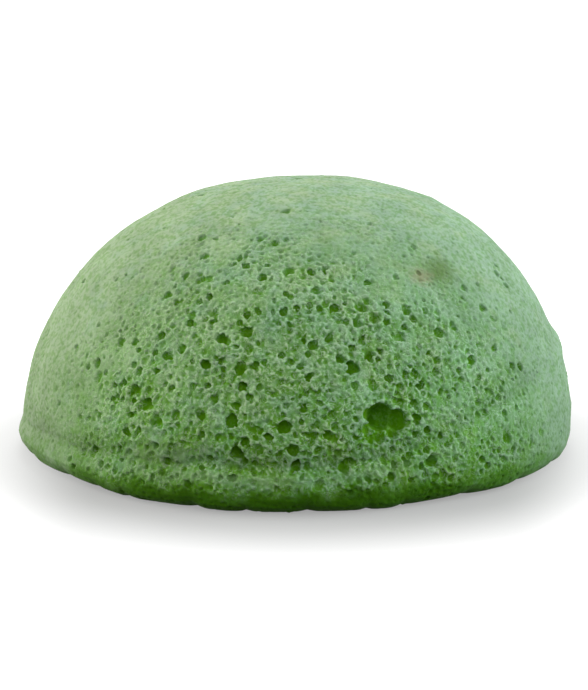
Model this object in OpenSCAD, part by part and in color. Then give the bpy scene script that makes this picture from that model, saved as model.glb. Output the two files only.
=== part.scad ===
// Half-ball face sponge of moulded konjac foam, resting on its flat side.
// The origin is the middle of the resting face, +Z is up, and -Y is the front.

/* [Sponge] */
// Width of the sponge across its base, from rim to rim
sponge_w = 80; // [60:1:110]
// Height from the resting face to the crown
sponge_h = 38.4; // [28:0.4:52]
// How far the crown lies to the right of the base's middle
crown_shift = 1; // [0:0.1:4]
// Fullness of the shoulders, where 2 is a plain ellipse
shoulder_power = 2.4; // [2:0.02:3]
// Flatness of the crown, where 2 is a plain ellipse
crown_power = 1.88; // [1.7:0.01:2.4]

/* [Lip] */
// Height of the moulded lip at the front and the back
lip_h = 6; // [4.5:0.5:9]
// Height of the lip at the left end
lip_left_h = 4.5; // [4:0.5:9]
// Height of the lip at the right end, where the foam bulged in its mould
lip_right_h = 16; // [6:0.5:20]
// How far the lip stands proud at the front and the back
lip_out = 0.8; // [0:0.1:1.6]
// How far the lip stands proud at the left end
lip_left_out = 0.5; // [0:0.1:1.6]
// How far the lip stands proud at the right end
lip_right_out = 0.3; // [0:0.1:1.6]

/* [Lower edge] */
// Height of the round-over between the lip and the resting face
edge_h = 3; // [1.5:0.1:4]
// Width of the round-over at the front and the back
edge_w = 5.4; // [3:0.2:8]
// Width of the round-over at the left end
edge_left_w = 7; // [3:0.2:9]
// Width of the round-over at the right end
edge_right_w = 8; // [3:0.2:9]
// How far the lumps along the round-over stand out
lump_out = 1; // [0:0.1:1.4]

/* [Pores] */
// Number of open pores in the skin
pore_count = 220; // [60:10:260]
// Radius of the smallest open pore
pore_small_r = 0.4; // [0.3:0.05:0.5]
// Radius of the largest open pore
pore_large_r = 0.9; // [0.6:0.05:1.2]

/* [Large void] */
// Radius of the largest of the burst bubbles that make up the large void
void_r = 2.1; // [1.2:0.05:2.4]
// Height of the large void above the resting face
void_h = 12; // [9:0.2:20]
// Direction of the large void, turned from the right
void_turn = 287; // [250:1:320]

/* [Facets] */
// Number of flats round the sponge
sectors = 90; // [60:6:96]

/* [Hidden] */

foam_colour = [0.54, 0.68, 0.48];

// Rings from the crown down to the lip, down the lip, and round the lower edge
crown_rings = 20;
lip_rings = 9;
edge_rings = 6;

// Steepness of the surface, in degrees from the crown, where the lip's rings begin
lip_start = 75;

// Share of the lip's height over which it fades into the dome
lip_fade_share = 0.45;

// Slow waves of the rim: how many go round, height as a share of half the width, and turn
rim_wave_shares = [[2, 0.008, 121], [3, 0.004, 119], [5, 0.008, 192]];

// Lumps of the lower edge: how many go round, share of lump_out, and turn
lump_wave_shares = [[13, 0.8, 315], [8, 0.35, 285], [21, 0.25, 75]];

// Turn between one pore and the next, which spreads them like seeds
seed_turn = 137.508;

// Most that a pore strays from its place, in degrees and as a share of the dome's height
pore_stray_turn = 10;
pore_stray_share = 0.02;

// Share of its radius by which a pore's centre lies under the skin
pore_sink_share = 0.13;

// Share of its radius that a pore loses at the crown, where the skin is tighter
pore_crown_loss_share = 0.4;

// Highest and lowest share of the dome's height that pores cover
pore_top_share = 0.995;
pore_low_share = 0.06;

// The larger pores are two bubbles run together: size from which they are, and the second
// bubble's radius and distance, all as shares
twin_from_share = 0.4;
twin_r_share = 0.75;
twin_gap_share = 0.9;

// Bubbles of the large void: shift round, shift up, depth and radius, as shares of void_r
void_lobe_shares = [
    [-0.26, 0.2, 0.15, 1], [0.79, -0.07, 0.05, 0.82], [-1.05, 0.4, 0, 0.5], [-1.18, -0.48, 0.05, 0.42],
    [-0.4, -1.02, 0, 0.5], [0.46, -0.8, 0, 0.5], [-0.6, 0, 0.95, 0.4]
];

// Gentle step from 0 to 1
function ease(x) = let (s = min(max(x, 0), 1)) s * s * (3 - 2 * s);

// Fractional part, for sizes that follow no visible order
function part_of(x) = x - floor(x);

// Number from -1 to 1 that follows no visible order
function stray(x) = 2 * part_of(x) - 1;

// Value at the front and back, drawn towards the left or right value near those ends
function ends(front, left, right, turn) =
    front + (left - front) * pow(max(0, -cos(turn)), 2)
          + (right - front) * pow(max(0, cos(turn)), 2);

// Sum of waves round the sponge, from a table of counts, shares and turns
function waves(shares, turn) = [for (w = shares) w[1] * cos(w[0] * turn - w[2])] * [for (w = shares) 1];

function rim_r(turn) = sponge_w / 2 * (1 + waves(rim_wave_shares, turn));
function dome_h() = sponge_h - edge_h;

// Point of the skin, from the steepness in degrees below the crown and the turn from the right
function skin(steep, turn) =
    let (z = edge_h + dome_h() * pow(cos(steep), 2 / crown_power),
         proud = ends(lip_out, lip_left_out, lip_right_out, turn),
         top = ends(lip_h, lip_left_h, lip_right_h, turn),
         r = (rim_r(turn) - proud) * pow(sin(steep), 2 / shoulder_power)
             + proud * ease((top - z) / (lip_fade_share * top)))
    [r * cos(turn) + crown_shift * (z - edge_h) / dome_h(), r * sin(turn), z];

// Point of the round-over, from 0 at the lip to 90 at the resting face
function edge(under, turn) =
    let (rim = skin(90, turn),
         w = ends(edge_w, edge_left_w, edge_right_w, turn) + lump_out * waves(lump_wave_shares, turn),
         inward = w * (1 - cos(under)))
    [rim[0] - inward * cos(turn), rim[1] - inward * sin(turn), edge_h * (1 - sin(under))];

// Point under the skin, drawn in towards the heart of the sponge
function under_skin(steep, turn, depth) =
    let (p = skin(steep, turn), heart = [0, 0, edge_h], way = heart - p)
    p + way * depth / norm(way);

// Steepness at which the skin has a given height
function steep_at(z) = acos(pow((z - edge_h) / dome_h(), crown_power / 2));

steps_down = concat([for (i = [1:crown_rings]) lip_start * i / crown_rings],
                    [for (i = [1:lip_rings]) lip_start + (90 - lip_start) * i / lip_rings]);
steps_under = [for (i = [1:edge_rings]) 90 * i / edge_rings];
turns = [for (j = [0:sectors - 1]) 360 * j / sectors];

// Closed skin without its pores
module loft() {
    rings = concat([for (s = steps_down) [for (a = turns) skin(s, a)]],
                   [for (u = steps_under) [for (a = turns) edge(u, a)]]);
    count = len(rings);
    points = concat([skin(0, 0)], [for (ring = rings) each ring]);
    function at(ring, j) = 1 + ring * sectors + j % sectors;
    cap = [for (j = [0:sectors - 1]) [0, at(0, j + 1), at(0, j)]];
    sides = [for (k = [0:count - 2], j = [0:sectors - 1])
             each [[at(k, j), at(k, j + 1), at(k + 1, j)],
                   [at(k, j + 1), at(k + 1, j + 1), at(k + 1, j)]]];
    resting_face = [[for (j = [0:sectors - 1]) at(count - 1, j)]];
    polyhedron(points = points, faces = concat(cap, sides, resting_face), convexity = 4);
}

// One bubble under the skin, its centre sunk by a share of its radius
module bubble(steep, turn, r, sink_share) {
    translate(under_skin(steep, turn, sink_share * r)) sphere(r);
}

// Open pores, spread over the dome with no visible order
module pores() {
    for (i = [0:pore_count - 1]) {
        even_share = pore_top_share - (pore_top_share - pore_low_share) * (i + 0.5) / pore_count;
        height_share = min(pore_top_share, even_share + pore_stray_share * stray(i * 0.4142136));
        turn = i * seed_turn + pore_stray_turn * stray(i * 0.5698403);
        size_share = pow(part_of(i * 0.7548777), 2);
        tight = 1 - pore_crown_loss_share * pow(height_share, 4);
        r = (pore_small_r + (pore_large_r - pore_small_r) * size_share) * tight;
        steep = acos(height_share);
        bubble(steep, turn, r, pore_sink_share);
        if (size_share > twin_from_share) {
            way = i * seed_turn * 2;
            gap = twin_gap_share * r / dome_h() * 180 / PI;
            bubble(steep + gap * sin(way), turn + gap * cos(way), twin_r_share * r, pore_sink_share);
        }
    }
}

// Burst bubbles that run together into one large void low on the front
module large_void() {
    middle = skin(steep_at(void_h), void_turn);
    round_r = norm([middle[0], middle[1]]);
    for (lobe = void_lobe_shares) {
        steep = steep_at(void_h + lobe[1] * void_r);
        turn = void_turn + lobe[0] * void_r / round_r * 180 / PI;
        translate(under_skin(steep, turn, lobe[2] * void_r)) sphere(lobe[3] * void_r);
    }
}

module sponge() {
    color(foam_colour)
    difference() {
        loft();
        pores();
        large_void();
    }
}

sponge();
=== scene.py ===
"""A half-ball konjac sponge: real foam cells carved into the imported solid, on a white studio floor."""

import math

import bmesh
import bpy
import numpy as np
import openvdb
from mathutils import Matrix, Vector
from mathutils.bvhtree import BVHTree


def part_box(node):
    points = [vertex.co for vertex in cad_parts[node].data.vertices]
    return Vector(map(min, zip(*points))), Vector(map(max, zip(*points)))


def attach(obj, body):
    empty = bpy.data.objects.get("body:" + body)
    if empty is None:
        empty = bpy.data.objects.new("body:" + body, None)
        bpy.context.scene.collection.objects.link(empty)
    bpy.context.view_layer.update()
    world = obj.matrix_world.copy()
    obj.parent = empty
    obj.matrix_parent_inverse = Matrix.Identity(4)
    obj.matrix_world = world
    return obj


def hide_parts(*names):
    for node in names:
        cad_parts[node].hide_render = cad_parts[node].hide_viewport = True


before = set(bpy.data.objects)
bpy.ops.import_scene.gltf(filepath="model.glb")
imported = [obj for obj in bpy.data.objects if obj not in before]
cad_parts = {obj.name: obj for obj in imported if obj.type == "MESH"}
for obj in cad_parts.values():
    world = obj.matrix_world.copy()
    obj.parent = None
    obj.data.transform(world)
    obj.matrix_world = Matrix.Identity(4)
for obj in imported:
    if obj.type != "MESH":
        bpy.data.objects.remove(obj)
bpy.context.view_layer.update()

MM = 0.001  # metres in a millimetre
SEED = 20

# The foam is worked out in millimetres, on a grid of this spacing
VOXEL = 0.16
BAND = 4  # voxels on each side of the skin that hold a distance
DEPTH_VOXEL = 0.4
DEPTH_BAND = 8

# Picture size and the camera that matches the photograph
PICTURE_W, PICTURE_H = 588, 690
PIXELS_PER_MM = 6.938
CAMERA_DISTANCE = 330.0
CAMERA_RISE = 11.13  # degrees above the horizontal
AIM = (0.0, 0.0, 18.0)
AIM_PIXEL = (297.4, 320.2)
LENS_PIXELS = PIXELS_PER_MM * CAMERA_DISTANCE  # focal length in pixels of the picture

# The front's largest pores: pixels across and down in the photograph, and radius in millimetres
FRONT_PORES = (
    (209, 296, 0.6), (247, 315, 0.6), (258, 311, 0.5), (283, 312, 0.6), (273, 311, 0.35),
    (297, 308, 0.6), (334, 308, 0.7), (319, 308, 0.45), (286, 294, 0.5), (190, 323, 0.6),
    (214, 321, 0.55), (221, 338, 0.8), (227, 342, 0.5), (205, 364, 0.9), (192, 362, 0.5),
    (220, 361, 0.55), (255, 365, 0.55), (313, 345, 0.65), (304, 341, 0.45), (329, 338, 0.65),
    (281, 356, 0.5), (300, 367, 0.5), (309, 377, 0.65), (308, 354, 0.45), (208, 386, 0.5),
    (242, 387, 0.75), (236, 406, 0.6), (201, 416, 0.7), (231, 422, 0.95), (202, 436, 0.6),
    (245, 442, 0.7), (237, 453, 0.85), (244, 461, 0.6), (209, 458, 0.5), (201, 468, 0.5),
    (269, 437, 0.65), (284, 427, 0.95), (304, 409, 0.55), (315, 427, 0.45), (304, 434, 0.45),
    (312, 441, 0.55), (293, 451, 0.75), (256, 430, 0.6), (301, 422, 0.55), (232, 479, 0.6),
    (188, 484, 0.5), (367, 282, 0.5), (386, 305, 0.6), (388, 313, 0.45), (387, 322, 0.5),
    (404, 327, 0.6), (344, 304, 0.5), (352, 347, 0.5), (380, 352, 0.5), (369, 356, 0.65),
    (354, 368, 0.85), (389, 379, 0.7), (458, 371, 0.45), (420, 385, 0.6), (441, 391, 0.45),
    (415, 435, 0.5), (440, 435, 0.45), (394, 466, 0.55), (410, 455, 0.5), (246, 266, 0.6),
    (235, 264, 0.35), (113, 399, 0.5), (125, 383, 0.45), (140, 390, 0.5), (131, 414, 0.5),
    (157, 371, 0.5), (172, 388, 0.45))

# Height of the fold above the lip, in millimetres
FOLD_FRONT, FOLD_LEFT, FOLD_RIGHT = 6.6, 5.0, 16.5

# The bead along the lip, the fold above it and the hollow over that: height from the fold's middle, and reach.
# The hollow's form only paints shade, and the bead also carries a painted highlight
LIP_FORMS = ((-1.6, 1.1), (0, 0.5), (0.9, 1.5))

# How strongly the lip shows, how much that varies, and the share that is lost at the right and left ends
LIP_SHOWS, LIP_VARIES, LIP_LOST_RIGHT, LIP_LOST_LEFT = 0.6, 0.4, 0.75, 0.65

# How far each form stands in or out of the skin, in millimetres, and the size of the noise that shapes it
WAVE_OUT, WAVE_SIZE = 0.16, 7.0
RIPPLE_OUT, RIPPLE_SIZE = 0.05, 3.0
SMEAR_OUT, SMEAR_SIZE = 0.28, 1.1
BEAD_OUT, FOLD_IN, LUMP_OUT = 0.4, 0.42, 0.42
ROUGH_OUT, ROUGH_SIZE = 0.11, 0.75
FINE_ROUGH_OUT, FINE_ROUGH_SIZE = 0.1, 0.37
SWELL = 0.15  # what the skin gains where open cells will be cut into it

# Creases between the lumps of the lower edge on the front, in degrees round from the right
FRONT_CREASES = (226, 234, 250, 260, 272, 284, 291, 306, 321)

# Bulges of the ends: turn from the right and height, reach in both, and how far they stand out
BULGES = ((0, 15.3, 30, 1.5, 0.6), (0, 12.5, 40, 2.5, 0.2), (180, 14.5, 35, 3.5, 0.35))

# Places where the foam is smeared smooth, in millimetres, and how far each smear reaches
SMEARS = (((-18.5, -34.7, 7.8), 2.8), ((-21.5, -33.0, 5.8), 2.4), ((-15.6, -36.1, 7.4), 2.0))
SMEAR_CLOSES = 0.45  # share of their openness that the cells lose in a smear

# A closed band runs from end to end over the crown. The cells open between these distances from its middle,
# in millimetres. Inside it they are this open on the crown, and gain a little below it. The crown's heights
# are shares of the sponge's
OPENS_FROM, OPENS_TO = 5, 43
CROWN_OPEN, BELOW_CROWN_GAIN = 0.12, 0.06
CROWN_LOW, CROWN_HIGH = 0.62, 0.95

# How open the resting edge's cells are, and the heights between which they become as open as those above
EDGE_OPEN, EDGE_LOW, EDGE_HIGH = 0.25, 1.2, 5

# How open the cells are on average, how much that varies, and over what distance in millimetres
OPEN_MEAN, OPEN_VARIES, OPEN_SIZE = 0.92, 0.42, 4.5

# Deep pores with no visible order: tries per square millimetre, smallest radius, what the largest adds, and
# the share of tries kept where the foam is open
PORE_TRIES, PORE_R, PORE_R_MORE, PORES_KEPT = 0.5, 0.27, 0.55, 0.72
PORE_GAP = 1.2  # least distance between two pores, as a share of both radii
FRONT_PORE_SIZE, FRONT_PORE_SINK = 0.9, 0.3  # shares of the radius read in the photograph

# Shallow cells, in two passes: tries per square millimetre, radii in millimetres, heights of the centres as
# shares of the radius, closest distance as a share of both radii, and height where the foam is closed
LARGE_CELLS = dict(density=6.0, small=0.22, large=0.6, heights=(0.35, 0.9), closeness=1.0, flat=0.9)
SMALL_CELLS = dict(density=8.0, small=0.16, large=0.28, heights=(0.2, 0.7), closeness=0.95, flat=0.93)
CLOSED_SHRINK = 0.35  # share of its radius that a cell loses where the foam is closed

CURL_TRIES = 0.3  # strands per square millimetre
CURL_NEAR = 0.1  # how far off the foam a strand's ball may lie, in millimetres

# Stains: place and reach in millimetres, and colour
STAINS = (((19.3, -21.3, 29.0), 3.8, (104, 134, 74)), ((16.4, -23.4, 28.6), 2.2, (156, 160, 126)),
          ((-17.5, -36.0, 4.7), 1.0, (66, 108, 10)))

# Colours by depth, from shallow cells to the bottom of a deep pore, darker and more saturated deeper in as
# painted shade
DEPTH_SHADE_COLOURS = ((0.0, (150, 190, 138)), (0.06, (132, 178, 116)), (0.13, (114, 166, 90)),
                 (0.24, (103, 162, 54)), (0.42, (90, 149, 8)), (0.75, (80, 138, 0)), (1.0, (70, 127, 0)))
# Pale strands, and a painted highlight on the ridges
STRAND_AND_HIGHLIGHT_COLOUR = (184, 217, 176)
# The closed skin's pale colour is partly its own and partly a painted sheen on the crown and ends
SPECK_COLOUR, CLOSED_SKIN_AND_SHEEN_COLOUR = (123, 158, 106), (157, 181, 152)  # of the closed skin
# A painted highlight on the lip's bead
BEAD_HIGHLIGHT_COLOUR = (140, 174, 134)
# Painted shade of the band at the bottom, where the sponge turns under
UNDER_SHADE_COLOUR = (48, 98, 8)
LEFT_TINT, RIGHT_TINT = (1.04, 0.99, 0.93, 1.0), (0.95, 1.0, 1.08, 1.0)

# The floor's glow, dimmer round the sponge as a painted shadow: at the sponge, the distances in metres between
# which it grows to white, and what it gains beside the ends as painted light
GLOW, GLOW_NEAR, GLOW_FAR = 0.34, 0.039, 0.07
SIDE_GLOW, SIDE_NEAR, SIDE_FAR = 0.27, 0.026, 0.043

# Lamps: name, place and size in metres, power in watts, and colour
LAMPS = (
    ("back_softbox", (0.0, 0.55, 0.65), 0.5, 3.2, (1, 1, 1)),
    ("left_softbox", (-0.65, 0.06, 0.19), 0.6, 3.7, (1.0, 0.97, 0.92)),
    ("right_softbox", (0.65, -0.02, 0.19), 0.6, 3.5, (0.92, 1.0, 0.99)),
    ("front_fill", (0.0, -0.7, 0.52), 0.4, 1.65, (1, 1, 1)))
WORLD_LIGHT = 0.35


def srgb(red, green, blue):
    """A colour given in 0 to 255 as linear red, green, blue and alpha."""
    shares = np.array([red, green, blue]) / 255
    linear = np.where(shares <= 0.04045, shares / 12.92, ((shares + 0.055) / 1.055) ** 2.4)
    return (*linear.tolist(), 1.0)


# The solid as arrays


def mesh_arrays(ob):
    """An object's corners in millimetres and its triangles."""
    me = ob.data
    me.calc_loop_triangles()
    points = np.empty(len(me.vertices) * 3, np.float32)
    me.vertices.foreach_get("co", points)
    triangles = np.empty(len(me.loop_triangles) * 3, np.int32)
    me.loop_triangles.foreach_get("vertices", triangles)
    return points.reshape(-1, 3) / MM, triangles.reshape(-1, 3)


def hull_arrays(points):
    """The skin with its pores bridged over: the solid's convex hull, as corners and triangles."""
    bm = bmesh.new()
    for p in points:
        bm.verts.new(p)
    bm.verts.ensure_lookup_table()
    bmesh.ops.convex_hull(bm, input=bm.verts)
    loose = [v for v in bm.verts if not v.link_faces]
    bmesh.ops.delete(bm, geom=loose, context="VERTS")
    bmesh.ops.triangulate(bm, faces=bm.faces)
    bmesh.ops.recalc_face_normals(bm, faces=bm.faces)
    bm.verts.index_update()
    corners = np.array([v.co for v in bm.verts], np.float32)
    triangles = np.array([[v.index for v in f.verts] for f in bm.faces], np.int32)
    bm.free()
    return corners, triangles


class Field:
    """Distances to a closed surface on a grid, negative inside."""

    def __init__(self, points, triangles, spacing, band, margin):
        self.spacing = spacing
        transform = openvdb.createLinearTransform(voxelSize=spacing)
        grid = openvdb.FloatGrid.createLevelSetFromPolygons(
            points.astype(np.float32), triangles=triangles.astype(np.uint32),
            transform=transform, halfWidth=band)
        low = np.floor(points.min(0) / spacing).astype(int) - margin
        high = np.ceil(points.max(0) / spacing).astype(int) + margin
        self.first = low
        self.values = np.empty(high - low + 1, np.float32)
        grid.copyToArray(self.values, ijk=tuple(int(i) for i in low))
        self.limit = spacing * band

    def axis(self, i):
        return (self.first[i] + np.arange(self.values.shape[i])) * self.spacing

    def at(self, points):
        """Distances at any points, by trilinear steps."""
        place = points / self.spacing - self.first
        cell = np.clip(np.floor(place).astype(int), 0, np.array(self.values.shape) - 2)
        share = np.clip(place - cell, 0, 1)
        total = np.zeros(len(points))
        for corner in np.ndindex(2, 2, 2):
            weight = np.prod(np.where(corner, share, 1 - share), axis=1)
            i, j, k = (cell + corner).T
            total += weight * self.values[i, j, k]
        return total

    def surface(self):
        """The zero surface as corners and quads."""
        grid = openvdb.FloatGrid()
        grid.background = self.limit
        grid.transform = openvdb.createLinearTransform(voxelSize=self.spacing)
        grid.copyFromArray(self.values, ijk=tuple(int(i) for i in self.first))
        return grid.convertToPolygons(isovalue=0.0, adaptivity=0.0)


# Foam cells


class Packing:
    """Cells already placed. Each is listed in every grid box that a later cell's centre may not enter."""

    def __init__(self, most, closeness, pitch=0.7):
        self.most, self.closeness, self.pitch = most, closeness, pitch
        self.boxes = {}

    def fits(self, place, r):
        x, y, z = place
        box = self.boxes.get((int(x // self.pitch), int(y // self.pitch), int(z // self.pitch)), ())
        for a, b, c, other in box:
            gap = self.closeness * (r + other)
            if (a - x) * (a - x) + (b - y) * (b - y) + (c - z) * (c - z) < gap * gap:
                return False
        return True

    def add(self, place, r):
        reach = self.closeness * (r + self.most)
        spans = [range(int((c - reach) // self.pitch), int((c + reach) // self.pitch) + 1) for c in place]
        for i in spans[0]:
            for j in spans[1]:
                for k in spans[2]:
                    self.boxes.setdefault((i, j, k), []).append((*place, r))


def scatter(corners, faces, density, rng, relief=None):
    """Random points spread evenly over a surface, moved by its relief, with its outward direction there."""
    a, b, c = (corners[faces[:, i]] for i in (0, 1, 2))
    cross = np.cross(b - a, c - a)
    area = np.linalg.norm(cross, axis=1)
    share = 0.5 if faces.shape[1] == 3 else 1.0
    count = int(area.sum() * share * density)
    chosen = rng.choice(len(area), count, p=area / area.sum())
    u, v = rng.random((2, count))
    if faces.shape[1] == 3:
        fold = u + v > 1
        u[fold], v[fold] = 1 - u[fold], 1 - v[fold]
    a, b, c = a[chosen], b[chosen], c[chosen]
    if faces.shape[1] == 4:  # across a quad's first corner
        c = corners[faces[chosen, 3]]
    points = a + u[:, None] * (b - a) + v[:, None] * (c - a)
    outward = (cross / np.maximum(area, 1e-12)[:, None])[chosen]
    if relief is not None:
        points = points + outward * relief.skin(points)[:, None]
    return points, outward


def ease(values, low, high):
    """Gentle steps from 0 at low to 1 at high."""
    share = np.clip((values - low) / (high - low), 0, 1)
    return share * share * (3 - 2 * share)


def broadness(points):
    """How near a place is to the middle of the front or the back, from 0 to 1. The cells there are open, and
    a band from end to end over the crown is smooth, where the mould pressed the skin."""
    crown = ease(points[:, 2], CROWN_LOW * cad_top, CROWN_HIGH * cad_top)
    off_band = np.abs(points[:, 1])
    return np.maximum(ease(off_band, OPENS_FROM, OPENS_TO), CROWN_OPEN + BELOW_CROWN_GAIN * (1 - crown))


def smeared(points):
    """How far a place is smeared smooth, from 0 to 1, with ragged edges."""
    total = np.zeros(len(points))
    ragged = 1 + 0.5 * uneven.at(points, 1.7)
    for place, reach in SMEARS:
        away = np.linalg.norm(points - np.array(place), axis=1) * ragged
        total = np.maximum(total, 1 - ease(away, 0.3 * reach, 1.3 * reach))
    return total


class Noise:
    """Smooth values from -1 to 1 in space, in gentle steps between random ones on a lattice."""

    def __init__(self, rng, count=64):
        self.count = count
        self.values = rng.uniform(-1, 1, (count, count, count)).astype(np.float32)

    def at(self, points, size):
        place = points / size
        cell = np.floor(place).astype(int)
        share = ease(place - cell, 0, 1)
        total = np.zeros(len(points))
        for corner in np.ndindex(2, 2, 2):
            weight = np.prod(np.where(corner, share, 1 - share), axis=1)
            i, j, k = ((cell + corner) % self.count).T
            total += weight * self.values[i, j, k]
        return total


uneven = Noise(np.random.default_rng(SEED + 1))


def openness(points):
    """How open the cells are, from 0 to 1: most on the broad sides, less at the resting edge and where
    smeared, and more in some places than in others."""
    above_edge = EDGE_OPEN + (1 - EDGE_OPEN) * ease(points[:, 2], EDGE_LOW, EDGE_HIGH)
    share = broadness(points) * above_edge * (1 - SMEAR_CLOSES * smeared(points))
    return np.clip(share * (OPEN_MEAN + OPEN_VARIES * uneven.at(points, OPEN_SIZE)), 0, 1)


def random_turns(count, rng):
    """Random rotation matrices."""
    q = rng.normal(size=(count, 4))
    w, x, y, z = (q / np.linalg.norm(q, axis=1)[:, None]).T
    return np.stack([
        np.stack([1 - 2 * (y * y + z * z), 2 * (x * y - z * w), 2 * (x * z + y * w)], 1),
        np.stack([2 * (x * y + z * w), 1 - 2 * (x * x + z * z), 2 * (y * z - x * w)], 1),
        np.stack([2 * (x * z - y * w), 2 * (y * z + x * w), 1 - 2 * (x * x + y * y)], 1)], 1)


def carve(field, centres, radii, rng, add=False):
    """Cuts one slightly squashed bubble for each centre out of the solid, or adds one of foam."""
    squash = rng.uniform(0.75, 1.25, (len(centres), 3))
    turns = random_turns(len(centres), rng)
    axes = [field.axis(i) for i in range(3)]
    h, first, shape = field.spacing, field.first, field.values.shape
    reach = radii * 1.25 + 2 * h
    low = np.maximum(np.floor((centres - reach[:, None]) / h).astype(int) - first, 0)
    high = np.minimum(np.ceil((centres + reach[:, None]) / h).astype(int) - first + 1, shape)
    for c, r, s, turn, lo, hi in zip(centres, radii, squash, turns, low, high):
        if (hi <= lo).any():
            continue
        x = (axes[0][lo[0]:hi[0]] - c[0])[:, None, None]
        y = (axes[1][lo[1]:hi[1]] - c[1])[None, :, None]
        z = (axes[2][lo[2]:hi[2]] - c[2])[None, None, :]
        m = turn / s[:, None]
        far = np.sqrt(sum((m[i, 0] * x + m[i, 1] * y + m[i, 2] * z) ** 2 for i in range(3)))
        view = field.values[lo[0]:hi[0], lo[1]:hi[1], lo[2]:hi[2]]
        if add:
            np.minimum(view, (far - r).astype(np.float32), out=view)
        else:
            np.maximum(view, (r - far).astype(np.float32), out=view)


def view_axes():
    """The camera's place in millimetres, and its directions to the right, up and forward. The aim point falls
    on its own pixel, a little off the picture's middle."""
    rise = math.radians(CAMERA_RISE)
    to_aim = Vector((0, math.cos(rise), -math.sin(rise)))
    dip = rise + math.atan((PICTURE_H / 2 - AIM_PIXEL[1]) / LENS_PIXELS)
    swing = math.atan((AIM_PIXEL[0] - PICTURE_W / 2) / LENS_PIXELS)
    forward = Vector((-math.sin(swing) * math.cos(dip), math.cos(swing) * math.cos(dip), -math.sin(dip)))
    right = Vector((math.cos(swing), math.sin(swing), 0))
    return Vector(AIM) - to_aim * CAMERA_DISTANCE, right, right.cross(forward), forward


def front_pores(corners, faces, relief):
    """Place, outward direction and radius of the front's largest pores, on the skin seen by the camera."""
    tree = BVHTree.FromPolygons(corners.tolist(), faces.tolist())
    eye, right, up, forward = view_axes()
    found = []
    for across, down, r in FRONT_PORES:
        way = forward * LENS_PIXELS + right * (across - PICTURE_W / 2) + up * (PICTURE_H / 2 - down)
        place, out = tree.ray_cast(eye, way.normalized())[:2]
        place, out = np.array(place), np.array(out)
        found.append((place + out * relief.skin(place[None])[0], out, r))
    return found


def run_together(place, out, size, sink, rng):
    """The bubbles of one pore: a large one, sunk by a share of its radius, and one to three smaller ones
    beside it."""
    heart = place - out * size * sink
    centres, radii = [heart], [size]
    for _ in range(rng.integers(1, 4)):
        way = rng.normal(size=3)
        way -= out * (way @ out + 0.2)
        way /= np.linalg.norm(way)
        radii.append(size * rng.uniform(0.4, 0.75))
        centres.append(heart + way * size * rng.uniform(0.5, 0.85))
    return centres, radii


def pores(corners, faces, relief, rng):
    """The deep pores: those that the photograph shows largest, and others with no visible order."""
    packing = Packing(1.0, PORE_GAP)
    centres, radii = [], []
    for place, out, size in front_pores(corners, faces, relief):
        packing.add(tuple(place.tolist()), size)
        more = run_together(place, out, FRONT_PORE_SIZE * size, FRONT_PORE_SINK, rng)
        centres += more[0]
        radii += more[1]
    places, outward = scatter(corners, faces, PORE_TRIES, rng, relief)
    r = PORE_R + PORE_R_MORE * rng.random(len(places)) ** 1.7
    for place, out, size, share in zip(places, outward, r, openness(places)):
        if rng.random() > PORES_KEPT * share ** 1.6:
            continue
        size = size * (0.6 + 0.4 * share)
        if not packing.fits(place, size):
            continue
        packing.add(tuple(place.tolist()), size)
        more = run_together(place, out, size, rng.uniform(-0.5, 0.5) * share, rng)
        centres += more[0]
        radii += more[1]
    return np.array(centres), np.array(radii)


def dents(corners, faces, rng, relief=None, *, density, small, large, heights, closeness, flat):
    """Shallow cells that crowd a surface and leave only ridges between them. The more the foam is closed, the
    smaller they are and the nearer their centres lie to the share of the radius called flat."""
    places, outward = scatter(corners, faces, density, rng, relief)
    r = small + (large - small) * rng.random(len(places)) ** 1.5
    r *= 1 - CLOSED_SHRINK * (1 - openness(places))
    order = np.argsort(-r + rng.normal(0, 0.1 * (large - small), len(r)))
    high = rng.uniform(*heights, len(places))
    high += (flat - high) * (1 - openness(places))
    packing = Packing(large, closeness)
    kept = []
    for i in order.tolist():
        place = tuple(places[i].tolist())
        if packing.fits(place, r[i]):
            packing.add(place, r[i])
            kept.append(i)
    kept = np.array(kept)
    return places[kept] + outward[kept] * (r[kept] * high[kept])[:, None], r[kept]


def curls(corners, faces, rng, relief):
    """Thin curled strands that lie over the cells: rows of small balls of foam."""
    places, outward = scatter(corners, faces, CURL_TRIES, rng, relief)
    open_here = openness(places)
    centres, radii = [], []
    for place, out, share in zip(places, outward, open_here):
        if rng.random() > share ** 2:
            continue
        bend, sweep, thick = rng.uniform(0.4, 1.1), rng.uniform(0.8, 2.2), rng.uniform(0.1, 0.15)
        way = rng.normal(size=3)
        way -= out * (way @ out)
        way /= np.linalg.norm(way)
        side = np.cross(out, way)
        for turn in np.arange(0, sweep, 0.6 * thick / bend):
            high = 0.14 * share - 0.3 * abs(2 * turn / sweep - 1) ** 3
            centres.append(place + bend * (way * math.cos(turn) + side * math.sin(turn)) + out * high)
            radii.append(thick)
    return np.array(centres), np.array(radii)


def fold_height(turn):
    """Height of the fold above the lip, from the turn from the right."""
    left, right = np.clip(-np.cos(turn), 0, 1) ** 2, np.clip(np.cos(turn), 0, 1) ** 2
    return FOLD_FRONT + (FOLD_LEFT - FOLD_FRONT) * left + (FOLD_RIGHT - FOLD_FRONT) * right


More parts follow.
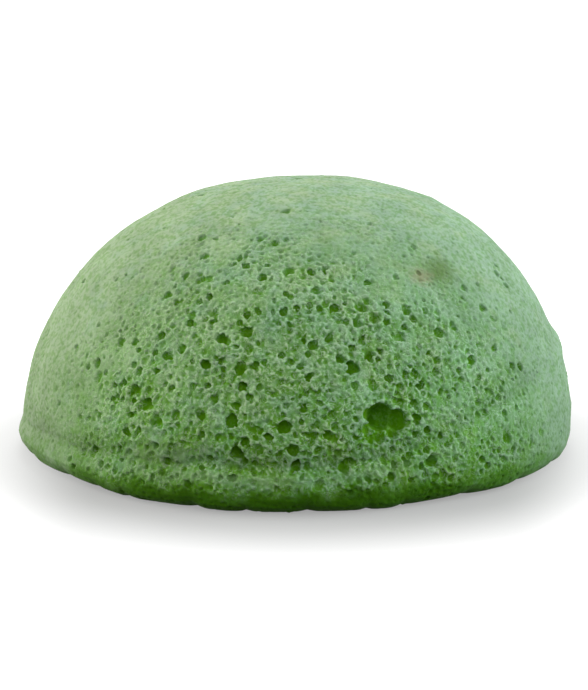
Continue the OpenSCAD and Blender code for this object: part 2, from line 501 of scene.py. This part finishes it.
class Bridge:
    """How far the hull stands off the solid's own skin, as it does over the hollow above the lip. Each patch
    of a table holds the distance that a quarter of the places there stay under, so pores don't count."""

    patch = np.array([math.radians(12), 0.75])  # turn, and height in millimetres
    count = np.array([30, 34])

    def __init__(self, corners, faces, solid, rng):
        places, _ = scatter(corners, faces, 12.0, rng)
        places = places[(places[:, 2] > 0.4) & (places[:, 2] < self.patch[1] * (self.count[1] - 1))]
        gap = np.clip(solid.at(places), 0, 0.6)
        across, up = self.place(places).T.round().astype(int)
        across %= self.count[0]
        order = np.lexsort((gap, up, across))
        self.table = np.zeros(self.count)
        found, first, share = np.unique(
            np.stack([across, up])[:, order], axis=1, return_index=True, return_counts=True)
        self.table[found[0], found[1]] = gap[order][first + share // 4]
        self.table = (self.table + (np.roll(self.table, 1, 0) + np.roll(self.table, -1, 0)) / 2) / 2

    def place(self, points):
        turn = np.arctan2(points[:, 1], points[:, 0]) + math.pi
        return np.stack([turn, points[:, 2]], 1) / self.patch

    def at(self, points):
        place = self.place(points)
        cell = np.floor(place).astype(int)
        total = np.zeros(len(points))
        for corner in np.ndindex(2, 2):
            weight = np.prod(np.where(corner, place - cell, 1 - place + cell), axis=1)
            i, j = (cell + corner).T
            total += weight * self.table[i % self.count[0], np.clip(j, 0, self.count[1] - 1)]
        return total


class Relief:
    """The skin's own relief: slow waves, a bead along the lip with a fold above it, and lumps along the
    lower edge."""

    def __init__(self, bridge, rng):
        self.bridge = bridge
        self.noise = Noise(rng)
        first, last = FRONT_CREASES[0], FRONT_CREASES[-1]
        others = last + np.cumsum(rng.uniform(7, 17, 60))
        others = others[others < first + 354]
        self.creases = np.concatenate([FRONT_CREASES, others, [first + 360]])
        self.lump_heights = rng.uniform(0.5, 1, len(self.creases))
        self.turns = np.linspace(-math.pi, math.pi, 721)
        ring = 40 * np.stack([np.cos(self.turns), np.sin(self.turns), np.zeros(721)], 1)
        self.fold = fold_height(self.turns) + 0.6 * self.noise.at(ring, 6.0)
        self.strong = LIP_SHOWS + LIP_VARIES * self.noise.at(ring + 90, 8.0)
        self.strong *= 1 - LIP_LOST_RIGHT * np.clip(np.cos(self.turns), 0, 1) ** 2
        self.strong *= 1 - LIP_LOST_LEFT * np.clip(-np.cos(self.turns), 0, 1) ** 3

    def lumps(self, turn):
        """Height of the lumps, from 0 in the creases between them to 1."""
        first = self.creases[0]
        degrees = (np.degrees(turn) - first) % 360 + first
        i = np.clip(np.searchsorted(self.creases, degrees), 1, len(self.creases) - 1)
        share = (degrees - self.creases[i - 1]) / (self.creases[i] - self.creases[i - 1])
        return self.lump_heights[i] * (1 - np.abs(2 * share - 1) ** 4)

    def lip(self, points):
        """How far the bead along the lip, the fold above it and the hollow over that show at each point, from 0
        to 1. The hollow's share is used only for painted shade."""
        turn = np.arctan2(points[:, 1], points[:, 0])
        rise = points[:, 2] - np.interp(turn, self.turns, self.fold)
        strong = np.interp(turn, self.turns, self.strong)
        return [strong * np.exp(-((rise - middle) / reach) ** 2) for middle, reach in LIP_FORMS]

    def at(self, points):
        """How far the skin stands out of its plain form at each point."""
        z = points[:, 2]
        turn = np.arctan2(points[:, 1], points[:, 0])
        out = WAVE_OUT * self.noise.at(points, WAVE_SIZE) + RIPPLE_OUT * self.noise.at(points, RIPPLE_SIZE)
        out += SMEAR_OUT * smeared(points) * self.noise.at(points * (1, 1, 2), SMEAR_SIZE)
        bead, fold, _ = self.lip(points)
        out += BEAD_OUT * bead - FOLD_IN * fold
        for at_turn, at_z, reach_turn, reach_z, height in BULGES:
            aside = (np.degrees(turn) - at_turn + 180) % 360 - 180
            out += height * np.exp(-(aside / reach_turn) ** 2 - ((z - at_z) / reach_z) ** 2)
        out *= ease(z, 0.5, 2.5)
        return out + LUMP_OUT * self.lumps(turn) * ease(z, -0.5, 0.2) * (1 - ease(z, 0.8, 2.6))

    def skin(self, points):
        """How far the finished skin stands outside the hull at each point."""
        return self.at(points) - self.bridge.at(points)


def fill(field, hull_field, bridge):
    """Makes the solid's pores shallower where the foam is nearly closed."""
    pore = np.nonzero(field.values - hull_field.values > 0.02)
    places = (np.stack(pore, 1) + field.first) * field.spacing
    share = 0.92 * (1 - ease(openness(places), 0.2, 0.62))
    deep = np.maximum(field.values[pore] - hull_field.values[pore] - bridge.at(places), 0)
    field.values[pore] -= (share * deep).astype(np.float32)


def swell(field, relief):
    """Gives the skin its relief, moves it outward where open cells will be cut into it, and keeps the resting
    face flat."""
    near = np.nonzero(np.abs(field.values) < field.limit)
    places = (np.stack(near, 1) + field.first) * field.spacing
    field.values[near] -= (relief.at(places) + SWELL * openness(places)).astype(np.float32)
    np.maximum(field.values, -field.axis(2).astype(np.float32)[None, None, :], out=field.values)


def roughen(corners, quads, rng):
    """Moves each corner a little in or out, more where the cells are open."""
    noise = Noise(rng)
    height = ROUGH_OUT * noise.at(corners, ROUGH_SIZE) + FINE_ROUGH_OUT * noise.at(corners, FINE_ROUGH_SIZE)
    height *= (0.08 + 0.92 * ease(openness(corners), 0, 0.7)) * ease(corners[:, 2], 0, 0.6)
    height *= 1 - 0.35 * ease(np.abs(corners[:, 0]), 6, 22)
    return corners + corner_normals(corners, quads) * height[:, None]


# Meshes


def new_mesh(name, points, quads):
    """A smooth-shaded mesh from corners in millimetres and quads."""
    me = bpy.data.meshes.new(name)
    me.vertices.add(len(points))
    me.vertices.foreach_set("co", (points * MM).astype(np.float32).ravel())
    me.loops.add(quads.size)
    me.loops.foreach_set("vertex_index", quads.astype(np.int32).ravel())
    me.polygons.add(len(quads))
    me.polygons.foreach_set("loop_start", np.arange(0, quads.size, 4, dtype=np.int32))
    me.update(calc_edges=True)
    me.shade_smooth()
    return me


def add_values(me, name, values):
    """A number for each corner of the mesh, for its material to read."""
    me.attributes.new(name, "FLOAT", "POINT").data.foreach_set("value", values.astype(np.float32))


def neighbours_mean(values, quads, count):
    """Each corner's mean over the corners it shares an edge with."""
    start = quads.ravel()
    end = np.roll(quads, -1, axis=1).ravel()
    total = np.zeros((count, values.shape[1]))
    for i in range(values.shape[1]):
        total[:, i] = np.bincount(start, values[end, i], count) + np.bincount(end, values[start, i], count)
    links = np.bincount(start, minlength=count) + np.bincount(end, minlength=count)
    return total / np.maximum(links, 1)[:, None]


def sharpness(corners, quads, outward):
    """How far each corner stands over those beside it, in voxels: above 0 on ridges, below 0 in creases."""
    centre = neighbours_mean(corners, quads, len(corners))
    sharp = ((corners - centre) * outward).sum(1) / VOXEL
    return neighbours_mean(sharp[:, None], quads, len(corners))[:, 0] * 0.5 + sharp * 0.5


def largest_part(points, quads):
    """The mesh without the specks of foam and the closed bubbles that the carving left loose."""
    start, end = quads.ravel(), np.roll(quads, -1, axis=1).ravel()
    part = np.arange(len(points))
    while True:
        low, high = np.minimum(part[start], part[end]), np.maximum(part[start], part[end])
        apart = low != high
        if not apart.any():
            break
        part[high[apart]] = low[apart]
        while (part[part] != part).any():
            part = part[part]
    main = np.bincount(part).argmax()
    kept = part == main
    new_place = np.cumsum(kept) - 1
    return points[kept], new_place[quads[kept[quads[:, 0]]]]


def corner_normals(points, quads):
    """Outward direction at each corner."""
    across = points[quads[:, 2]] - points[quads[:, 0]]
    other = points[quads[:, 3]] - points[quads[:, 1]]
    face = np.cross(across, other)
    total = np.stack([np.bincount(quads.ravel(), np.repeat(face[:, i], 4), len(points)) for i in range(3)], 1)
    return total / np.maximum(np.linalg.norm(total, axis=1), 1e-12)[:, None]


def bake_map(me, points, quads):
    """A map for baking: the dome seen from its crown on one disc, the resting face on a small one."""
    base_z, base_r = 1.5, 35.5
    heart = np.array([0.0, 0.0, 6.0])
    ray = points - heart
    far = np.linalg.norm(ray, axis=1)
    from_crown = np.arccos(np.clip(ray[:, 2] / far, -1, 1))
    turn = np.arctan2(ray[:, 1], ray[:, 0])
    most = from_crown.max()
    spread = 0.41 * np.sin(from_crown / 2) / math.sin(most / 2)
    dome = np.stack([0.415 + spread * np.cos(turn), 0.415 + spread * np.sin(turn)], 1)
    base = 0.86 + 0.13 * points[:, :2] / np.abs(points[:, :2]).max()
    middle = points[quads].mean(1)
    under = (middle[:, 2] < base_z) & (np.hypot(middle[:, 0], middle[:, 1]) < base_r)
    uv = np.where(np.repeat(under, 4)[:, None], base[quads.ravel()], dome[quads.ravel()])
    me.uv_layers.new(name="OFBake").uv.foreach_set("vector", uv.astype(np.float32).ravel())


# Materials


class Tree:
    """Short calls for building a material's nodes."""

    def __init__(self, name):
        self.material = bpy.data.materials.new(name)
        self.material.use_nodes = True
        self.nodes = self.material.node_tree.nodes
        self.links = self.material.node_tree.links
        self.nodes.clear()

    def add(self, kind, settings=(), **inputs):
        node = self.nodes.new("ShaderNode" + kind)
        for key, value in dict(settings).items():
            setattr(node, key, value)
        for key, value in inputs.items():
            self.set(node.inputs[key.replace("_", " ")], value)
        return node

    def set(self, socket, value):
        if isinstance(value, bpy.types.NodeSocket):
            self.links.new(value, socket)
        else:
            socket.default_value = value

    def value(self, name):
        return self.add("Attribute", dict(attribute_name=name)).outputs["Fac"]

    def math(self, operation, *values):
        node = self.add("Math", dict(operation=operation))
        for socket, value in zip(node.inputs, values):
            self.set(socket, value)
        return node.outputs[0]

    def fade(self, value, low, high, to_low=0.0, to_high=1.0):
        node = self.add("MapRange", dict(interpolation_type="SMOOTHSTEP"))
        for key, number in {"Value": value, "From Min": low, "From Max": high,
                            "To Min": to_low, "To Max": to_high}.items():
            self.set(node.inputs[key], number)
        return node.outputs[0]

    def mix(self, share, first, second, blend="MIX"):
        node = self.add("Mix", dict(data_type="RGBA", blend_type=blend))
        self.set(node.inputs[0], share)
        self.set(node.inputs[6], first)
        self.set(node.inputs[7], second)
        return node.outputs[2]

    def noise(self, places, size_mm, detail, roughness):
        return self.add("TexNoise", Vector=places, Scale=1 / (size_mm * MM), Detail=detail,
                        Roughness=roughness).outputs["Fac"]

    def three_noises(self, places, size_mm, **inputs):
        """Three separate noises of one size, as the red, green and blue outputs of a node."""
        node = self.add("TexNoise", Vector=places, Scale=1 / (size_mm * MM), **inputs)
        return self.add("SeparateColor", Color=node.outputs["Color"]).outputs

    def stretch(self, places, *factors):
        node = self.add("VectorMath", dict(operation="MULTIPLY"), Vector=places)
        node.inputs[1].default_value = factors
        return node.outputs[0]

    def ramp(self, value, stops):
        node = self.add("ValToRGB", Fac=value)
        elements = node.color_ramp.elements
        while len(elements) > 1:
            elements.remove(elements[-1])
        elements[0].position, elements[0].color = stops[0]
        for place, colour in stops[1:]:
            elements.new(place).color = colour
        return node.outputs["Color"]


def foam_material():
    """Pale curled strands with a painted highlight on the ridges, mid green shallow cells, and deep saturated
    green in the open pores and creases, darkened with depth as painted shade. A fuzzy pale skin where the foam
    is closed, its paleness partly a painted sheen, a band of painted shade at the bottom, painted shade lower
    down and in the hollow above the lip's fold, a painted highlight on the lip's bead, and a few stains."""
    t = Tree("konjac_foam")
    places = t.add("TexCoord").outputs["Object"]
    height = t.add("SeparateXYZ", Vector=places).outputs["Z"]
    depth = t.value("depth")
    rim = t.value("rim")
    clear = t.fade(t.value("open"), 0.0, 0.65, 0.18, 1.0)

    # Strands, along the lines where a noise has its middle value
    curls = t.three_noises(places, 0.8, Detail=1.0, Roughness=0.6, Distortion=0.8)

    def strand(channel, width):
        across = t.math("ABSOLUTE", t.math("SUBTRACT", curls[channel], 0.5))
        return t.fade(across, 0.0, width, 1.0, 0.0)

    grain = t.noise(places, 0.45, 3.0, 0.65)
    patches = t.noise(places, 2.2, 3.0, 0.6)
    strands = t.math("MAXIMUM", strand("Red", 0.05), t.math("MULTIPLY", strand("Green", 0.04), 0.9))
    strands = t.math("MULTIPLY", strands, t.fade(curls["Blue"], 0.4, 0.6, 0.1, 1.0))
    shallow = t.math("MULTIPLY", t.fade(depth, 0.1, 0.9, 1.0, 0.1), clear)
    strands = t.math("MULTIPLY", strands, shallow)

    # Level of each place between shallow and deep: its depth and creases, which paint shade into pores and
    # creases, grain, the painted shade of the bottom band and lower down, and slow clouds
    level = t.math("MULTIPLY_ADD", grain, 0.9, t.math("MULTIPLY_ADD", patches, 1.0, -0.82))
    level = t.math("ADD", t.math("MULTIPLY", depth, t.fade(clear, 0.15, 1.0, 0.4, 1.0)),
                   t.math("MULTIPLY", level, shallow))
    # Painted shade in the creases
    level = t.math("ADD", level, t.math("MULTIPLY", t.fade(rim, -0.35, -0.1, 0.15, 0.0), clear))
    clouds = t.three_noises(places, 5, Detail=2.0, Roughness=0.6)
    # Painted shade: a darker, saturated band at the bottom, where the sponge turns under
    edge = t.math("MULTIPLY_ADD", clouds["Blue"], -8.0 * MM, height)
    under_shade = t.fade(t.math("MULTIPLY_ADD", patches, -2.0 * MM, edge), -3.4 * MM, -0.6 * MM, 1.0, 0.0)
    side = t.add("SeparateXYZ", Vector=places).outputs["X"]
    lip = t.value("lip")
    under_shade = t.math("MULTIPLY", under_shade, t.fade(t.math("ABSOLUTE", side), 18 * MM, 37 * MM, 1.0, 0.35))
    under_shade = t.math("MULTIPLY", under_shade, t.fade(lip, 0.0, 0.9, 1.0, 0.35))
    # Painted shade: darker and more saturated lower down
    low = t.fade(height, 4 * MM, 24 * MM, 1.0, 0.0)
    level = t.math("ADD", level, t.math("MULTIPLY_ADD", under_shade, 0.6, t.math("MULTIPLY", low, 0.22)))
    level = t.math("MULTIPLY_ADD", t.math("SUBTRACT", clouds["Red"], 0.5), 0.6, level)
    # Painted shade: darker, more saturated green deeper in the pores
    colour = t.ramp(t.math("MULTIPLY", level, 0.5), [(place, srgb(*c)) for place, c in DEPTH_SHADE_COLOURS])

    # Pale strands and painted highlights on the ridges, with fewer lower down, the closed skin with its specks
    # and a painted sheen, a painted highlight on the bead of the lip, and the painted shade of the bottom band
    strands_and_highlight = t.math("MAXIMUM", t.math("MULTIPLY", strands, 0.9),
                  t.math("MULTIPLY", t.fade(rim, 0.06, 0.3, 0.0, 0.75), shallow))
    # Fewer pale strands and painted highlights lower down, as painted shade
    strands_and_highlight = t.math("MULTIPLY", strands_and_highlight, t.fade(height, 3 * MM, 15 * MM, 0.72, 1.0))
    unshaded = t.math("SUBTRACT", 1.0, t.math("MULTIPLY", under_shade, 0.9))
    colour = t.mix(t.math("MULTIPLY", strands_and_highlight, unshaded), colour, srgb(*STRAND_AND_HIGHLIGHT_COLOUR))
    wide = t.stretch(places, 1.0, 0.75, 1.0)
    blotches = t.math("MULTIPLY", t.noise(wide, 0.8, 1.0, 0.5), 0.6)
    blotches = t.math("MULTIPLY_ADD", t.noise(wide, 0.4, 2.0, 0.6), 0.4, blotches)
    # The closed skin, paler in part as a painted sheen
    flat = t.mix(t.fade(blotches, 0.35, 0.59), srgb(*SPECK_COLOUR), srgb(*CLOSED_SKIN_AND_SHEEN_COLOUR))
    smooth = t.math("MULTIPLY", t.value("smooth"), t.fade(depth, 0.08, 0.4, 1.0, 0.1))
    colour = t.mix(t.math("MULTIPLY", smooth, unshaded), colour, flat)
    # Painted highlight on the lip's bead
    colour = t.mix(t.fade(lip, 0.1, 0.8, 0.0, 0.55), colour, srgb(*BEAD_HIGHLIGHT_COLOUR))
    # Painted shade of the bottom band
    colour = t.mix(t.math("MULTIPLY", under_shade, 0.62), colour, srgb(*UNDER_SHADE_COLOUR))

    # Slow changes of tint from left to right, and of shade: at random, with painted shade lower down and in the
    # fold and hollow above the lip, and a painted highlight on its bead
    across = t.math("MULTIPLY_ADD", t.math("SUBTRACT", clouds["Green"], 0.5), 110 * MM, side)
    across = t.math("MULTIPLY_ADD", t.math("SUBTRACT", patches, 0.5), -60 * MM, across)
    tint = t.mix(t.fade(across, -26 * MM, 30 * MM), LEFT_TINT, RIGHT_TINT)
    colour = t.mix(1.0, colour, tint, "MULTIPLY")
    shade = t.math("MULTIPLY_ADD", patches, 0.3, t.math("MULTIPLY_ADD", clouds["Red"], -0.4, 1.05))
    # Painted shade: darker lower down
    shade = t.math("MULTIPLY", shade, t.fade(height, 3 * MM, 11 * MM, 0.86, 1.0))
    # Painted highlight on the lip's bead, and painted shade in the fold and the hollow above it
    shade = t.math("MULTIPLY", shade, t.math("MULTIPLY_ADD", lip, 0.16, 1.0))
    shade = t.math("MULTIPLY", shade, t.fade(lip, -0.7, 0.1, 0.86, 1.0))
    colour = t.mix(1.0, colour, shade, "MULTIPLY")
    for place, reach, stain in STAINS:
        away = t.add("VectorMath", dict(operation="SUBTRACT"), Vector=places)
        away.inputs[1].default_value = [c * MM for c in place]
        away = t.stretch(away.outputs[0], 1.0, 1.0, 1.5)
        far = t.add("VectorMath", dict(operation="LENGTH"), Vector=away).outputs["Value"]
        far = t.math("MULTIPLY_ADD", t.math("ADD", grain, patches), 2.5 * MM, far)
        share = t.fade(far, (0.1 * reach + 2.5) * MM, (1.2 * reach + 2.5) * MM, 0.85, 0.0)
        colour = t.mix(share, colour, srgb(*stain))

    relief = t.math("MULTIPLY", grain, t.math("MULTIPLY_ADD", clear, 0.3, 0.03))
    relief = t.math("MULTIPLY_ADD", strands, 0.7, relief)
    bump = t.add("Bump", Strength=0.7, Distance=0.12 * MM, Height=relief).outputs[0]
    shader = t.add("BsdfPrincipled", Base_Color=colour, Roughness=0.75, Normal=bump)
    shader.inputs["Specular IOR Level"].default_value = 0.06
    shader.inputs["Sheen Weight"].default_value = 0.04
    shader.inputs["Sheen Roughness"].default_value = 0.4
    shader.inputs["Subsurface Weight"].default_value = 0.45
    shader.inputs["Subsurface Radius"].default_value = (0.6, 1.0, 0.4)
    shader.inputs["Subsurface Scale"].default_value = 0.5 * MM
    out = t.add("OutputMaterial")
    t.links.new(shader.outputs[0], out.inputs[0])
    return t.material


def floor_material():
    """White to the camera and in mirrored views, with the sponge's shadow on it, partly real and partly painted
    by a glow that is dimmer near the sponge and brighter beside its ends, and dark grey to the light that it
    would otherwise throw back at the sponge."""
    t = Tree("studio_floor")
    path = t.add("LightPath")
    seen = t.math("MAXIMUM", path.outputs["Is Camera Ray"], path.outputs["Is Glossy Ray"])
    colour = t.mix(seen, (0.15, 0.15, 0.15, 1.0), (0.3, 0.3, 0.3, 1.0))
    places = t.add("TexCoord").outputs["Object"]
    away = t.add("VectorMath", dict(operation="LENGTH"), Vector=places).outputs["Value"]
    aside = t.math("ABSOLUTE", t.add("SeparateXYZ", Vector=places).outputs["X"])
    # Painted shadow: the glow is dimmer near the sponge, and painted light brightens it beside the ends
    glow = t.math("ADD", t.fade(away, GLOW_NEAR, GLOW_FAR, GLOW, 1.0),
                  t.fade(aside, SIDE_NEAR, SIDE_FAR, 0.0, SIDE_GLOW))
    glow = t.math("MULTIPLY", t.math("MINIMUM", glow, 1.0), seen)
    glow = t.add("Emission", Color=(1.0, 1.0, 1.0, 1.0), Strength=glow)
    both = t.add("AddShader")
    t.set(both.inputs[0], t.add("BsdfDiffuse", Color=colour).outputs[0])
    t.set(both.inputs[1], glow.outputs[0])
    out = t.add("OutputMaterial")
    t.links.new(both.outputs[0], out.inputs[0])
    return t.material


# The sponge


def make_sponge(node):
    """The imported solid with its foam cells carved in, as one mesh. Its corners carry what the material reads:
    depth under the skin, ridges and creases, and how open, smooth or near the lip each place is."""
    rng = np.random.default_rng(SEED)
    points, triangles = mesh_arrays(node)
    hull_corners, hull_triangles = hull_arrays(points)
    solid = Field(points, triangles, VOXEL, BAND, BAND + 2)
    skin = Field(hull_corners, hull_triangles, DEPTH_VOXEL, DEPTH_BAND, DEPTH_BAND + 1)
    bridge = Bridge(hull_corners, hull_triangles, solid, np.random.default_rng(SEED + 2))
    relief = Relief(bridge, rng)
    fill(solid, Field(hull_corners, hull_triangles, VOXEL, BAND, BAND + 2), bridge)
    swell(solid, relief)
    carve(solid, *pores(hull_corners, hull_triangles, relief, rng), rng)
    carve(solid, *dents(hull_corners, hull_triangles, rng, relief, **LARGE_CELLS), rng)
    corners, _, quads = solid.surface()
    carve(solid, *dents(corners.astype(float), quads, rng, **SMALL_CELLS), rng)
    centres, radii = curls(hull_corners, hull_triangles, rng, relief)
    near = solid.at(centres) < CURL_NEAR
    carve(solid, centres[near], radii[near], rng, add=True)
    corners, _, quads = solid.surface()
    corners, quads = largest_part(corners.astype(float), quads.astype(np.int64))
    corners = roughen(corners, quads, rng)
    outward = corner_normals(corners, quads)
    sharp = sharpness(corners, quads, outward)
    me = new_mesh("sponge_foam", corners, quads)
    add_values(me, "depth", np.clip(relief.skin(corners) - skin.at(corners), 0, None))
    add_values(me, "rim", sharp * 2)
    add_values(me, "open", openness(corners))
    smooth = 0.8 * (1 - ease(broadness(corners), 0.1, 0.9))
    add_values(me, "smooth", np.maximum(smooth, 0.3 * smeared(corners)))
    bead, _, hollow = relief.lip(corners)
    # The lip value paints a highlight on the bead and shade in the fold and hollow above it
    add_values(me, "lip", bead - hollow)
    bake_map(me, corners, quads)
    ob = bpy.data.objects.new("sponge_foam", me)
    bpy.context.scene.collection.objects.link(ob)
    ob.data.materials.append(foam_material())
    print("corners", len(corners), "quads", len(quads))
    return ob


cad_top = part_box("sponge")[1].z / MM
sponge = make_sponge(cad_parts["sponge"])
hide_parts("sponge")
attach(sponge, "root")


# Studio


def add_floor():
    me = bpy.data.meshes.new("floor")
    half = 3.0
    corners = [(-half, -half, 0), (half, -half, 0), (half, half, 0), (-half, half, 0)]
    me.from_pydata(corners, [], [(0, 1, 2, 3)])
    floor = bpy.data.objects.new("floor", me)
    bpy.context.scene.collection.objects.link(floor)
    floor.data.materials.append(floor_material())


def add_world():
    world = bpy.data.worlds.new("studio")
    bpy.context.scene.world = world
    world.use_nodes = True
    nodes, links = world.node_tree.nodes, world.node_tree.links
    nodes.clear()
    path = nodes.new("ShaderNodeLightPath")
    light = nodes.new("ShaderNodeBackground")
    light.inputs["Strength"].default_value = WORLD_LIGHT
    white = nodes.new("ShaderNodeBackground")
    white.inputs["Color"].default_value = (1, 1, 1, 1)
    seen = nodes.new("ShaderNodeMixShader")
    out = nodes.new("ShaderNodeOutputWorld")
    links.new(path.outputs["Is Camera Ray"], seen.inputs[0])
    links.new(light.outputs[0], seen.inputs[1])
    links.new(white.outputs[0], seen.inputs[2])
    links.new(seen.outputs[0], out.inputs[0])
    light.inputs["Color"].default_value = (1, 1, 1, 1)


def add_lamp(name, place, size, power, colour):
    data = bpy.data.lights.new(name, "AREA")
    data.shape = "DISK"
    data.size = size
    data.energy = power
    data.color = colour
    lamp = bpy.data.objects.new(name, data)
    lamp.location = place
    lamp.rotation_euler = (Vector((0, 0, 0.015)) - Vector(place)).to_track_quat("-Z", "Y").to_euler()
    bpy.context.scene.collection.objects.link(lamp)


def add_camera():
    eye, right, up, forward = view_axes()
    data = bpy.data.cameras.new("camera")
    data.sensor_width = 36.0
    data.lens = LENS_PIXELS * data.sensor_width / PICTURE_H
    data.clip_start = 0.01
    camera = bpy.data.objects.new("camera", data)
    turn = Matrix((right, up, -forward)).transposed()
    camera.matrix_world = Matrix.Translation(eye * MM) @ turn.to_4x4()
    bpy.context.scene.collection.objects.link(camera)
    bpy.context.scene.camera = camera


add_floor()
add_world()
for lamp in LAMPS:
    add_lamp(*lamp)
add_camera()
bpy.context.scene.view_settings.view_transform = "Standard"
